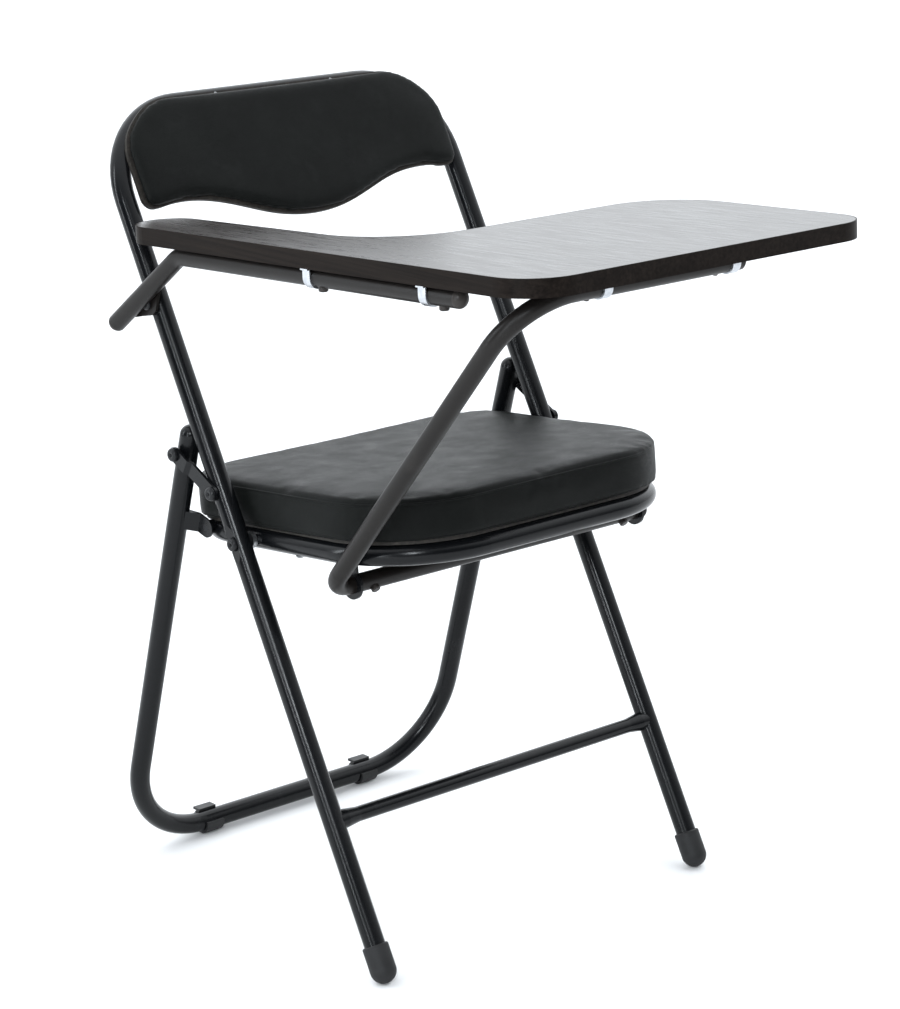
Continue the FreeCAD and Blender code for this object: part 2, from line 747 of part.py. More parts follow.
# ---------------------------------------------------------------- seat
def seat_outline(sketch, inset):
    """A rounded rectangle in the seat's plane, with larger corners at the front."""
    half = f"(dims.cushion_half - {inset})"
    front = f"(dims.cushion_front - {inset})"
    rear = f"(dims.cushion_rear - {inset})"
    corners = [
        (f"-{half}", rear), (f"-{half}", f"-{front}"), (half, f"-{front}"), (half, rear),
    ]
    wide = f"(dims.cushion_front_corner - {inset})"
    tight = f"(dims.cushion_rear_corner - {inset})"
    bent_path(sketch, corners, [tight, wide, wide, tight], closed=True)


def ring_core(name, radius):
    owner = body(name)
    path = sketch_on(owner, f"{name}_path", "XY_Plane")
    corners = [
        ("-dims.ring_half", "0"), ("-dims.ring_half", "-dims.ring_front"), ("dims.ring_half", "-dims.ring_front"),
        ("dims.ring_half", "dims.ring_rear"), ("-dims.ring_half", "dims.ring_rear"), ("-dims.ring_half", "0.001"),
    ]
    wide, tight = "dims.ring_front_bend", "dims.ring_rear_bend"
    bent_path(path, corners, [None, wide, wide, tight, tight, None])
    profile = sketch_on(owner, f"{name}_profile", "XZ_Plane")
    circle(profile, ("-dims.ring_half", "0"), radius)
    pipe(owner, f"{name}_pipe", path, profile)
    return owner


def make_seat():
    hollow = cut("ring_hollow", ring_core("ring_outside", "dims.tube_radius"),
                 ring_core("ring_bore", "dims.tube_radius - dims.tube_wall"))
    sides = {"left": "dims.ring_half", "right": "-dims.ring_half"}
    drills = [
        cylinder("ring_pivot_drill", RUNNING_HOLE, "600", ("-300", "0", "0")),
        cylinder("ring_ear_drill", "dims.rivet_radius", "600", ("-300",) + ear_pivot_on_seat),
    ]
    drills += [
        cylinder(f"ring_screw_drill_{number}", "dims.screw_radius", "40", (sides[side], along, "-20"), "Z")
        for number, (along, side) in enumerate(RING_SCREWS)
    ]
    node("seat_ring", in_seat(cut("ring_drilled", hollow, fuse("ring_drills", drills))))

    board = body("ply")
    sketch = sketch_on(board, "ply_outline", "XY_Plane", "dims.seat_board_bottom")
    seat_outline(sketch, "dims.seat_board_inset")
    pad(board, "ply_pad", sketch, "dims.seat_board_thick")
    pilots = fuse("ply_pilots", [
        cylinder(f"ply_pilot_{number}", "dims.screw_radius", "8", (sides[side], along, "8"), "Z")
        for number, (along, side) in enumerate(RING_SCREWS)
    ])
    node("seat_board", in_seat(cut("ply_drilled", board, pilots)))

    cushion = body("cushion")
    sketch = sketch_on(cushion, "cushion_outline", "XY_Plane", "dims.cushion_bottom")
    seat_outline(sketch, "0")
    pad(cushion, "cushion_pad", sketch, "dims.cushion_top - dims.cushion_bottom")
    round_far_edge(cushion, "cushion", "ZMax", "dims.cushion_edge")
    recess = body("cushion_recess")
    sketch = sketch_on(recess, "recess_outline", "XY_Plane")
    seat_outline(sketch, "(dims.seat_board_inset - dims.soft_gap)")
    pad(recess, "recess_pad", sketch, "dims.seat_board_bottom + dims.seat_board_thick + dims.soft_gap")
    node("seat_cushion", in_seat(cut("cushion_hollowed", cushion, recess)))

    screws = []
    for number, (along, side) in enumerate(RING_SCREWS):
        screw = pin(f"ring_screw_{number}", "dims.tube_radius", "15.5 + 2 * dims.tube_radius",
                    "dims.screw_radius", "dims.screw_head", (2.4, 0))
        place(screw, (sides[side], along, "-2 * dims.tube_radius"), (0, -1, 0), 90)
        screws.append(screw)
    node("seat_screws", in_seat(group("ring_screw_group", screws)))

    # eyes that carry the support's axle under the ring
    axle_y, axle_z = axle_on_seat
    eye = body("eye")
    sketch = sketch_on(eye, "eye_ring", "YZ_Plane", "dims.eye_x - dims.plate / 2")
    circle(sketch, axle_on_seat, "dims.eye_radius")
    pad(eye, "eye_pad", sketch, "dims.plate")
    neck = sketch_on(eye, "eye_neck", "YZ_Plane", "dims.eye_x - dims.plate / 2")
    rectangle(neck, (f"{axle_y} - 9", f"{axle_z}"), (f"{axle_y} + 9", "-2"))
    pad(eye, "eye_neck_pad", neck, "dims.plate")
    cutters = fuse("eye_cutters", [
        cylinder("eye_bore", "dims.arm_radius + dims.running_gap", "40", ("dims.eye_x - 20", axle_y, axle_z)),
        ring_core("eye_cope", "dims.tube_radius"),
    ])
    node_pair("axle_eye", cut("eye_cut", eye, cutters), in_seat)

    # bushes welded to the ring and the rivets that carry the rear brackets' ears
    ear_y, ear_z = ear_pivot_on_seat
    near = "(dims.ring_half + 5.5)"
    bush = at(turned("ear_bush_blank", [
        (near, "dims.rivet_radius"), (near, 7), ("dims.ear_inner - 0.2", 7),
        ("dims.ear_inner - 0.2", "dims.rivet_radius"),
    ]), 0, ear_y, ear_z)
    bush = cut("ear_bush", bush, ring_core("bush_cope", "dims.tube_radius"))
    node("rear_pivot_bushes", in_seat(group("ear_bush_group", [bush, mirrored("ear_bush_right", bush)])))
    rivet = at(pin("ear_rivet", "(dims.ring_half - 18)", "(dims.ear_inner + dims.ear_plate)",
                   "dims.rivet_radius", "dims.rivet_head - 2", (2, 0)), 0, ear_y, ear_z)
    node("rear_pivot_rivets", in_seat(group("ear_rivet_group", [rivet, mirrored("ear_rivet_right", rivet)])))


# ---------------------------------------------------------------- board support
def make_support():
    corners = [
        ("dims.support_axle_end", "0"), ("-dims.support_side", "0"),
        ("-dims.support_side", "dims.support_length"), ("dims.support_upper_end", "dims.support_length"),
    ]
    radii = [None, "dims.support_lower_bend", "dims.support_upper_bend", None]
    outside, inside = bored_tube(
        "support", "XZ_Plane", "dims.arm_radius", "YZ_Plane", ("0", "0"), "dims.support_axle_end", radii, corners,
    )
    node("support_tube", in_support(cut("support_hollow", outside, inside)))

    plugs = []
    for number, (end, up) in enumerate((
        ("dims.support_axle_end", 0), ("dims.support_upper_end", "dims.support_length"),
    )):
        plug = turned(f"support_plug_{number}", [
            ("-8", 0), ("-8", "dims.arm_radius - dims.tube_wall"), ("0", "dims.arm_radius - dims.tube_wall"),
            ("0", "dims.arm_radius"), ("1", "dims.arm_radius"), (("4", "6.3"), ("5", DOME_FLAT), "arc"),
            ("5", 0),
        ])
        plugs.append(at(plug, end, 0, up))
    node("support_end_plugs", in_support(group("support_plug_group", plugs)))

    # pegs: stops that keep the tube from sliding along X in its eyes and clamps
    axle_pegs = [
        place(peg(f"axle_peg_{word}", "Y"), (f"{side} * dims.axle_peg_x", 0, 0), (0, 0, -1), 90)
        for side, word in ((1, "left"), (-1, "right"))
    ]
    node("axle_stop_pegs", in_support(group("axle_peg_group", axle_pegs)))
    upper_pegs = [
        place(peg(f"upper_peg_{number}", "Z"), (f"{centre} - 12", 0, "dims.support_length"), (0, 1, 0), 90)
        for number, centre in enumerate(SUPPORT_CLAMPS)
    ]
    node("support_stop_pegs", in_support(group("upper_peg_group", upper_pegs)))


def peg(name, tube_axis):
    """A short round peg along +X, welded to a tube along tube_axis through the origin."""
    blank = turned(f"{name}_blank", [
        (2, 0), (2, "dims.peg_radius"),
        ("dims.peg_length - 1", "dims.peg_radius"), ("dims.peg_length", "dims.peg_radius - 1"),
        ("dims.peg_length", 0),
    ])
    base = ["0", "0", "0"]
    base["XYZ".index(tube_axis)] = "-20"
    return cut(name, blank, cylinder(f"{name}_tube", "dims.arm_radius", "40", base, tube_axis))


# ---------------------------------------------------------------- writing board
def board_outline(sketch):
    """The board from above: a panel in front, an armrest strip on the right, a hollow between them."""
    steps = [
        ("line", (-248, 317.5), (-248, -182)),
        ("arc", (-248, -182), (-233.5, -217.5), (-198, -232)),
        ("line", (-198, -232), (140, -232)),
        ("arc", (140, -232), (169.8, -219.8), (182, -190)),
        ("line", (182, -190), (182, -36)),
        ("arc", (182, -36), (160.6, 15.6), (109, 37)),
        ("line", (109, 37), (-80, 37)),
        ("arc", (-80, 37), (-147.5, 65), (-175.5, 132.5)),
        ("line", (-175.5, 132.5), (-183, 317.5)),
        ("arc", (-183, 317.5), (-215.5, 350), (-248, 317.5)),
    ]
    for kind, *points in steps:
        spots = [V(across, along, 0) for across, along in points]
        shape = Part.LineSegment(*spots) if kind == "line" else Part.Arc(*spots)
        sketch.addGeometry(shape, False)


def extruded(name, source, length, base):
    item = doc.addObject("Part::Extrusion", name)
    item.Base = source
    item.DirMode = "Custom"
    item.Dir = V(0, 0, 1)
    bind(item, "LengthFwd", length)
    item.Solid = True
    return place(item, (0, 0, base))


def saddle(name, tube_radius, length):
    """A zinc strap over a tube that lies along X under the board, with an ear on each side."""
    owner = body(name)
    outer = f"({tube_radius} + dims.clamp_thick)"
    sketch = sketch_on(owner, f"{name}_hoop", "YZ_Plane")
    circle(sketch, ("0", "0"), outer)
    pad(owner, f"{name}_hoop_pad", sketch, length, middle=True)
    ears = sketch_on(owner, f"{name}_ears", "YZ_Plane")
    level = "(dims.arm_drop - dims.board_thick)"
    rectangle(ears, ("-dims.clamp_ear", f"{level} - dims.clamp_thick"), ("dims.clamp_ear", level))
    pad(owner, f"{name}_ears_pad", ears, length, middle=True)
    web = sketch_on(owner, f"{name}_web", "YZ_Plane")
    rectangle(web, (f"-{outer}", "0"), (outer, level))
    pad(owner, f"{name}_web_pad", web, length, middle=True)
    return owner


def saddle_bore(name, tube_radius):
    """The room inside a saddle: the tube, the slot up to the board, and the screw holes in its ears."""
    owner = body(name)
    sketch = sketch_on(owner, f"{name}_round", "YZ_Plane")
    circle(sketch, ("0", "0"), tube_radius)
    pad(owner, f"{name}_round_pad", sketch, 60, middle=True)
    slot = sketch_on(owner, f"{name}_slot", "YZ_Plane")
    rectangle(slot, (f"-{tube_radius}", "0"), (tube_radius, "20"))
    pad(owner, f"{name}_slot_pad", slot, 60, middle=True)
    holes = [
        cylinder(f"{name}_hole_{word}", "dims.screw_radius", "40", ("0", f"{side} * {SCREW_OFFSET}", "-20"), "Z")
        for side, word in ((1, "far"), (-1, "near"))
    ]
    return fuse(f"{name}_room", [owner] + holes)


def clamp_screw(name):
    """A pan-head screw along Z, head down, whose head lies against a clamp's ear."""
    screw = pin(name, "0", "9", "dims.screw_radius", "dims.screw_head", (2.2, 0))
    return place(screw, (0, 0, 0), (0, -1, 0), 90)


def make_board():
    sheet = doc.addObject("Sketcher::SketchObject", "board_sheet")
    board_outline(sheet)
    inner = doc.addObject("Part::Offset2D", "board_core_outline")
    inner.Source = sheet
    bind(inner, "Value", "-dims.band_thick")
    full = extruded("board_full", sheet, "dims.board_thick", "-dims.board_thick")
    core = extruded("board_core", inner, "dims.board_thick", "-dims.board_thick")
    room = extruded("board_room", inner, "dims.board_thick + 2", "-dims.board_thick - 1")
    node("board_edge_band", in_board(cut("band_cut", full, room)))

    screw_spots = []
    for centre in SUPPORT_CLAMPS:
        for side in (1, -1):
            screw_spots.append((centre, f"dims.support_y + {side} * {SCREW_OFFSET}",
                                "dims.arm_drop - dims.support_drop"))
    for centre in ARM_CLAMPS:
        screw_spots.append((f"-dims.arm_x + {SCREW_OFFSET}", centre, "0"))
    pilots = fuse("board_pilots", [
        cylinder(f"board_pilot_{number}", "dims.screw_radius", "12",
                 (across, along, "-dims.board_thick - 4"), "Z")
        for number, (across, along, _) in enumerate(screw_spots)
    ])
    node("writing_board", in_board(cut("board_drilled", core, pilots)))

    # arm tube: straight under the armrest, then an elbow and a tail that passes the frame
    corners = [
        ("-dims.arm_front", "-dims.arm_drop"), ("dims.elbow_y", "-dims.arm_drop"), ("dims.tail_y", "-dims.tail_drop"),
    ]
    cores = []
    for word, radius in (("outside", "dims.arm_radius"), ("bore", "dims.arm_radius - dims.tube_wall")):
        owner = body(f"arm_{word}")
        path = sketch_on(owner, f"arm_{word}_path", "YZ_Plane", "-dims.arm_x")
        bent_path(path, corners, [None, "dims.elbow_bend", None])
        profile = sketch_on(owner, f"arm_{word}_profile", "XZ_Plane", "dims.arm_front")
        circle(profile, ("-dims.arm_x", "-dims.arm_drop"), radius)
        pipe(owner, f"arm_{word}_pipe", path, profile)
        cores.append(owner)
    node("arm_tube", in_board(cut("arm_hollow", *cores)))

    section = [
        ("-9", 0), ("-9", "dims.arm_radius - dims.tube_wall"), ("0", "dims.arm_radius - dims.tube_wall"),
        ("0", "dims.arm_radius"), ("1", "dims.arm_radius"), (("5.4", "6.4"), ("7.4", DOME_FLAT), "arc"),
        ("7.4", 0),
    ]
    front = place(turned("arm_front_plug_turned", section), ("-dims.arm_x", "-dims.arm_front", "-dims.arm_drop"),
                  (0, 0, -1), 90)
    node("arm_front_plug", in_board(group("arm_front_plug_group", [front])))
    slope = "atan((dims.tail_drop - dims.arm_drop) / (dims.tail_y - dims.elbow_y))"
    aimed = place(turned("arm_tail_plug_turned", section), (0, 0, 0), (0, 0, 1), 90)
    tail = place(group("arm_tail_plug_aimed", [aimed]), ("-dims.arm_x", "dims.tail_y", "-dims.tail_drop"),
                 (-1, 0, 0), slope)
    node("arm_tail_plug", in_board(group("arm_tail_plug_group", [tail])))

    # lug under the tail with the pivot pin that meets the frame
    lug_y, lug_z = arm_pivot_on_board
    lug = body("lug")
    sketch = sketch_on(lug, "lug_outline", "YZ_Plane", "-dims.arm_x + 7.2")
    polygon(sketch, [
        (f"{lug_y} - 20", f"{lug_z} + 17"), (f"{lug_y} - 12", f"{lug_z} - 6"), (f"{lug_y} - 5", f"{lug_z} - 11"),
        (f"{lug_y} + 8", f"{lug_z} - 13"), (f"{lug_y} + 24", f"{lug_z} - 16"), (f"{lug_y} + 24", f"{lug_z} - 10"),
    ])
    pad(lug, "lug_pad", sketch, "dims.plate")
    lug_cutters = fuse("lug_cutters", [
        tube_copy("lug_cope", corners),
        cylinder("lug_hole", "dims.rivet_radius - 1", "20", ("-dims.arm_x", lug_y, lug_z)),
    ])
    node("arm_lug", in_board(cut("lug_cut", lug, lug_cutters)))
    pivot = at(pin("arm_pin", "-dims.arm_x + 7.2", "-dims.arm_x + 10.4", "dims.rivet_radius - 1",
                   "dims.rivet_head - 2", (2.2, 0)), 0, lug_y, lug_z)
    node("arm_pivot_pin", in_board(cut("arm_pin_coped", pivot, tube_copy("pin_cope", corners))))

    # clamps and their screws
    along_x = "dims.arm_radius + dims.running_gap"
    pieces = []
    for number, centre in enumerate(SUPPORT_CLAMPS):
        strap = cut(f"support_clamp_{number}", saddle(f"support_saddle_{number}", along_x, "dims.clamp_width"),
                    saddle_bore(f"support_saddle_bore_{number}", along_x))
        pieces.append(place(strap, (centre, "dims.support_y", "-dims.support_drop")))
    node("support_clamps", in_board(group("support_clamp_group", pieces)))
    pieces = []
    for number, centre in enumerate(ARM_CLAMPS):
        strap = cut(f"arm_clamp_{number}", saddle(f"arm_saddle_{number}", "dims.arm_radius", "dims.clamp_width"),
                    saddle_bore(f"arm_saddle_bore_{number}", "dims.arm_radius"))
        turned_strap = place(strap, (0, 0, 0), (0, 0, 1), 90)
        trim = doc.addObject("Part::Box", f"arm_clamp_trim_{number}")
        for size in ("Length", "Width", "Height"):
            bind(trim, size, 60)
        place(trim, ("-60 - (248 - dims.arm_x) + 0.6", -30, -20))
        pieces.append(place(cut(f"arm_clamp_short_{number}", turned_strap, trim),
                            ("-dims.arm_x", centre, "-dims.arm_drop")))
    node("arm_clamps", in_board(group("arm_clamp_group", pieces)))
    screws = [
        at(group(f"clamp_screw_{number}", [clamp_screw(f"clamp_screw_turned_{number}")]),
           across, along, f"{lower} - dims.board_thick - dims.clamp_thick")
        for number, (across, along, lower) in enumerate(screw_spots)
    ]
    node("clamp_screws", in_board(group("clamp_screw_group", screws)))
    pegs = [
        place(peg(f"arm_peg_{number}", "Y"), ("-dims.arm_x", along, "-dims.arm_drop"), (0, 1, 0), 90)
        for number, along in enumerate(ARM_PEGS)
    ]
    node("arm_stop_pegs", in_board(group("arm_peg_group", pegs)))


def tube_copy(name, corners):
    """The arm tube as a solid bar, to cut pieces that are welded against it."""
    owner = body(name)
    path = sketch_on(owner, f"{name}_path", "YZ_Plane", "-dims.arm_x")
    bent_path(path, corners, [None, "dims.elbow_bend", None])
    profile = sketch_on(owner, f"{name}_profile", "XZ_Plane", "dims.arm_front")
    circle(profile, ("-dims.arm_x", "-dims.arm_drop"), "dims.arm_radius")
    pipe(owner, f"{name}_pipe", path, profile)
    return owner


make_front_frame()
make_rear_legs()
make_links()
make_seat()
make_support()
make_board()
doc.recompute()

# ---------------------------------------------------------------- checks and export
for item in doc.Objects:
    if {"Invalid", "Error"} & set(item.State):
        raise SystemExit(f"{item.Name} ({item.Label}) failed: {item.State}")
for name, item in NODES.items():
    if item.Shape.isNull() or not item.Shape.isValid() or not item.Shape.Solids:
        raise SystemExit(f"{name} has no valid solid")

os.makedirs("parts", exist_ok=True)
for name, item in NODES.items():
    item.Shape.exportStep(f"parts/{name}.step")
    print(name, len(item.Shape.Solids), "solids", round(item.Shape.Volume), "mm3")
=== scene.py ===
"""Looks for the folding student desk chair: materials, upholstery, floor, light and camera."""
import json
import math

import bmesh
import bpy
from mathutils import Matrix, Vector
from mathutils.bvhtree import BVHTree


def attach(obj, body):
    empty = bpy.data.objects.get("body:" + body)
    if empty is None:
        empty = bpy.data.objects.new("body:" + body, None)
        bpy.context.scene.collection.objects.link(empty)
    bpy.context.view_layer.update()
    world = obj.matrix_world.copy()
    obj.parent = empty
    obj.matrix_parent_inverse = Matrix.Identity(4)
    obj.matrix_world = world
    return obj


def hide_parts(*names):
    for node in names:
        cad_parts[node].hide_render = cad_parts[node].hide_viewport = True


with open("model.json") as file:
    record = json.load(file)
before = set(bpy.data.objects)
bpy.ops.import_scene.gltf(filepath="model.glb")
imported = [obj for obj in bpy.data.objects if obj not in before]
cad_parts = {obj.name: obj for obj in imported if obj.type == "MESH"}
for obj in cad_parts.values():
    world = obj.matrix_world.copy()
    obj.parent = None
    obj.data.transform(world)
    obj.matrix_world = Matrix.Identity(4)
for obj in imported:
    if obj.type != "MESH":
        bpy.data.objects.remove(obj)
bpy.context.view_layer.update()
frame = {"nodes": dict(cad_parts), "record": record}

MM = 0.001
SEAT_PIVOT = Vector((0, 217.62, 391.15)) * MM
SEAT_TILT = math.radians(-6)
FRAME_LEAN = math.radians(-29.09)
Y_AXIS, Z_AXIS = 1, 2
CLOTH_FRAMES = 20
BEYOND_ANY_PIECE = 0.6  # metres from a piece's middle, where the rays that look for its surface start
WELT_STEPS = 360
WELT_SINK = 0.0004
PEEL_DEPTH = 0.00012  # orange peel of the powder coat
MOULD_DEPTH = 0.00015  # texture of moulded rubber and plastic


# ---------------------------------------------------------------- shader helpers
class Finish:
    """A material with a Principled shader and short calls for the nodes that feed it."""

    def __init__(self, name, roughness, metallic=0.0, specular=0.5):
        self.material = bpy.data.materials.new(name)
        self.material.use_nodes = True
        self.tree = self.material.node_tree
        self.shader = self.tree.nodes["Principled BSDF"]
        self.shader.inputs["Metallic"].default_value = metallic
        self.shader.inputs["Roughness"].default_value = roughness
        self.shader.inputs["Specular IOR Level"].default_value = specular
        self.place = self.tree.nodes.new("ShaderNodeTexCoord").outputs["Object"]

    def link(self, output, name):
        self.tree.links.new(output, self.shader.inputs[name])

    def stretched(self, scale, turn=(0, 0, 0)):
        mapping = self.tree.nodes.new("ShaderNodeMapping")
        mapping.inputs["Scale"].default_value = scale
        mapping.inputs["Rotation"].default_value = turn
        self.tree.links.new(self.place, mapping.inputs["Vector"])
        return mapping.outputs["Vector"]

    def noise(self, scale, detail, roughness=0.5, place=None, distortion=0.0):
        item = self.tree.nodes.new("ShaderNodeTexNoise")
        item.inputs["Scale"].default_value = scale
        item.inputs["Detail"].default_value = detail
        item.inputs["Roughness"].default_value = roughness
        item.inputs["Distortion"].default_value = distortion
        self.tree.links.new(place or self.place, item.inputs["Vector"])
        return item.outputs["Fac"]

    def cell_edges(self, scale):
        item = self.tree.nodes.new("ShaderNodeTexVoronoi")
        item.feature = "DISTANCE_TO_EDGE"
        item.inputs["Scale"].default_value = scale
        self.tree.links.new(self.place, item.inputs["Vector"])
        return item.outputs["Distance"]

    def ramp(self, source, stops):
        """Grey levels by position, for exactly two stops."""
        item = self.tree.nodes.new("ShaderNodeValToRGB")
        for point, (position, level) in zip(item.color_ramp.elements, stops):
            point.position = position
            point.color = (level, level, level, 1)
        self.tree.links.new(source, item.inputs["Fac"])
        return item.outputs["Color"]

    def spread(self, source, low, high, start=0.3, end=0.7):
        item = self.tree.nodes.new("ShaderNodeMapRange")
        limits = {"From Min": start, "From Max": end, "To Min": low, "To Max": high}
        for name, number in limits.items():
            item.inputs[name].default_value = number
        self.tree.links.new(source, item.inputs["Value"])
        return item.outputs["Result"]

    def mixed(self, factor, first, second):
        item = self.tree.nodes.new("ShaderNodeMix")
        item.data_type = "RGBA"
        sockets = (item.inputs[0], item.inputs[6], item.inputs[7])
        for source, socket in zip((factor, first, second), sockets):
            if isinstance(source, bpy.types.NodeSocket):
                self.tree.links.new(source, socket)
            else:
                socket.default_value = (*source, 1)
        return item.outputs[2]

    def bump(self, height, depth, strength, base=None):
        item = self.tree.nodes.new("ShaderNodeBump")
        item.inputs["Strength"].default_value = strength
        item.inputs["Distance"].default_value = depth
        self.tree.links.new(height, item.inputs["Height"])
        if base:
            self.tree.links.new(base, item.inputs["Normal"])
        return item.outputs["Normal"]


def painted(name, colour, worn_colour, roughness, worn_share=0.16):
    """Powder coat: fine orange peel, slow changes of gloss, and a few rubbed places."""
    finish = Finish(name, roughness, specular=0.2)
    slow = finish.noise(9, 3)
    rubs = finish.noise(46, 6, 0.65, finish.stretched((1, 0.35, 0.35)))
    worn = finish.spread(rubs, 0, worn_share, 0.6, 0.72)
    finish.link(finish.mixed(worn, colour, worn_colour), "Base Color")
    finish.link(finish.spread(slow, roughness - 0.05, roughness + 0.07), "Roughness")
    coarse = finish.bump(finish.noise(420, 2), PEEL_DEPTH, 0.35)
    finish.link(finish.bump(finish.noise(1500, 2), PEEL_DEPTH * 0.4, 0.3, coarse), "Normal")
    return finish.material


def metal(name, colour, dark, roughness):
    """Plated or bare steel with fine brushing and dull patches."""
    finish = Finish(name, roughness, metallic=1.0)
    patches = finish.noise(130, 4, 0.6)
    finish.link(finish.mixed(finish.spread(patches, 0, 0.7), colour, dark), "Base Color")
    finish.link(finish.spread(patches, roughness - 0.07, roughness + 0.16), "Roughness")
    brushing = finish.noise(900, 3, 0.5, finish.stretched((1, 6, 1)))
    finish.link(finish.bump(brushing, 0.00008, 0.4), "Normal")
    return finish.material


def moulded(name, colour, roughness):
    """Moulded rubber or plastic: faint mottling, matt, finely textured."""
    finish = Finish(name, roughness, specular=0.25)
    slow = finish.noise(60, 4)
    light = tuple(min(1, part * 1.9 + 0.004) for part in colour)
    finish.link(finish.mixed(finish.spread(slow, 0, 0.6), colour, light), "Base Color")
    finish.link(finish.spread(slow, roughness - 0.08, roughness + 0.1), "Roughness")
    finish.link(finish.bump(finish.noise(1100, 3), MOULD_DEPTH, 0.4), "Normal")
    return finish.material


def wood_print(name, dark, light, roughness, strength, specular):
    """Wood-grain laminate: long fine lines that run along Y, wavering slowly."""
    finish = Finish(name, roughness, specular=specular)
    long_lines = finish.noise(1, 5, 0.62, finish.stretched((330, 5.5, 330)), 0.25)
    broad = finish.noise(1, 3, 0.5, finish.stretched((52, 2.2, 52)), 0.6)
    pores = finish.noise(1, 2, 0.5, finish.stretched((900, 28, 900)))
    tone = finish.mixed(finish.spread(long_lines, 0, strength, 0.32, 0.68), dark, light)
    deeper = tuple(part * 0.62 for part in dark)
    finish.link(finish.mixed(finish.spread(broad, 0, 0.55, 0.45, 0.7), tone, deeper), "Base Color")
    finish.link(finish.spread(long_lines, roughness - 0.04, roughness + 0.09), "Roughness")
    grain = finish.bump(pores, 0.00010, 0.45)
    finish.link(finish.bump(long_lines, 0.00012, 0.3, grain), "Normal")
    return finish.material


def leathercloth(name):
    """Black vinyl with a fine pebble grain, soft hollows with painted shade in them, and rubbed high
    places.
    """
    finish = Finish(name, 0.40, specular=0.07)
    slow = finish.noise(11, 4, 0.55)
    rub = finish.noise(34, 6, 0.6)
    # painted shade: the darker colour goes where the slow noise is low, the same places the bump below
    # makes into hollows
    painted_hollow_shade, plain, rubbed = (0.0034, 0.0039, 0.0036), (0.0064, 0.0072, 0.0067), (0.016, 0.017, 0.0165)
    tone = finish.mixed(finish.spread(slow, 0, 1), painted_hollow_shade, plain)
    finish.link(finish.mixed(finish.spread(rub, 0, 0.3, 0.55, 0.75), tone, rubbed), "Base Color")
    finish.link(finish.spread(rub, 0.37, 0.5), "Roughness")
    pebbles = finish.ramp(finish.cell_edges(820), [(0.0, 0.0), (0.16, 1.0)])
    pebble = finish.bump(pebbles, 0.00016, 0.5)
    creases = finish.bump(finish.noise(95, 4, 0.6), 0.0004, 0.16, pebble)
    finish.link(finish.bump(slow, 0.004, 0.18, creases), "Normal")
    return finish.material


def fibreboard(name):
    """Dark stained board, slightly furry, with paler flecks."""
    finish = Finish(name, 0.62, specular=0.2)
    flecks = finish.noise(260, 5, 0.7)
    dark, pale = (0.020, 0.018, 0.016), (0.075, 0.065, 0.055)
    finish.link(finish.mixed(finish.spread(flecks, 0, 0.6, 0.45, 0.8), dark, pale), "Base Color")
    finish.link(finish.spread(finish.noise(30, 3), 0.55, 0.72), "Roughness")
    finish.link(finish.bump(flecks, 0.0002, 0.5), "Normal")
    return finish.material


FINISHES = {
    "frame_paint": painted("frame_paint", (0.0040, 0.0044, 0.0051), (0.030, 0.032, 0.035), 0.21),
    "arm_paint": painted("arm_paint", (0.0080, 0.0066, 0.0059), (0.036, 0.031, 0.028), 0.36, 0.2),
    "rivet_steel": painted("rivet_steel", (0.011, 0.0115, 0.0125), (0.30, 0.30, 0.31), 0.30, 0.35),
    "washer_steel": metal("washer_steel", (0.40, 0.41, 0.42), (0.16, 0.16, 0.165), 0.38),
    "zinc": metal("zinc", (0.60, 0.62, 0.65), (0.36, 0.38, 0.41), 0.30),
    "foot_rubber": moulded("foot_rubber", (0.011, 0.011, 0.0115), 0.55),
    "glide_plastic": moulded("glide_plastic", (0.012, 0.012, 0.0125), 0.45),
    "plug_plastic": moulded("plug_plastic", (0.019, 0.016, 0.0145), 0.42),
    "plywood": fibreboard("plywood"),
    "laminate": wood_print(
        "laminate", (0.010, 0.0075, 0.0066), (0.034, 0.028, 0.026), 0.27, strength=1.0, specular=0.58
    ),
    "edge_band": wood_print(
        "edge_band", (0.0050, 0.0036, 0.0030), (0.017, 0.0128, 0.0106), 0.40, strength=0.8, specular=0.05
    ),
    "vinyl": leathercloth("vinyl"),
}


def paint(item, finish):
    item.data.materials.clear()
    item.data.materials.append(finish)


for part in frame["record"]["subparts"]:
    paint(frame["nodes"][part["node"]], FINISHES[part["material_slot"]])


# ---------------------------------------------------------------- upholstery
def local_frame(origin, angle):
    """Row frame from a part's own flat frame, tilted about X."""
    return Matrix.Translation(origin) @ Matrix.Rotation(angle, 4, "X")


def new_object(name, mesh):
    item = bpy.data.objects.new(name, mesh)
    bpy.context.scene.collection.objects.link(item)
    return item


def apply_modifiers(item):
    """Bake every modifier into the mesh."""
    bpy.context.view_layer.update()
    shaped = item.evaluated_get(bpy.context.evaluated_depsgraph_get())
    mesh = bpy.data.meshes.new_from_object(shaped)
    item.modifiers.clear()
    item.data = mesh


def smooth(item):
    for face in item.data.polygons:
        face.use_smooth = True


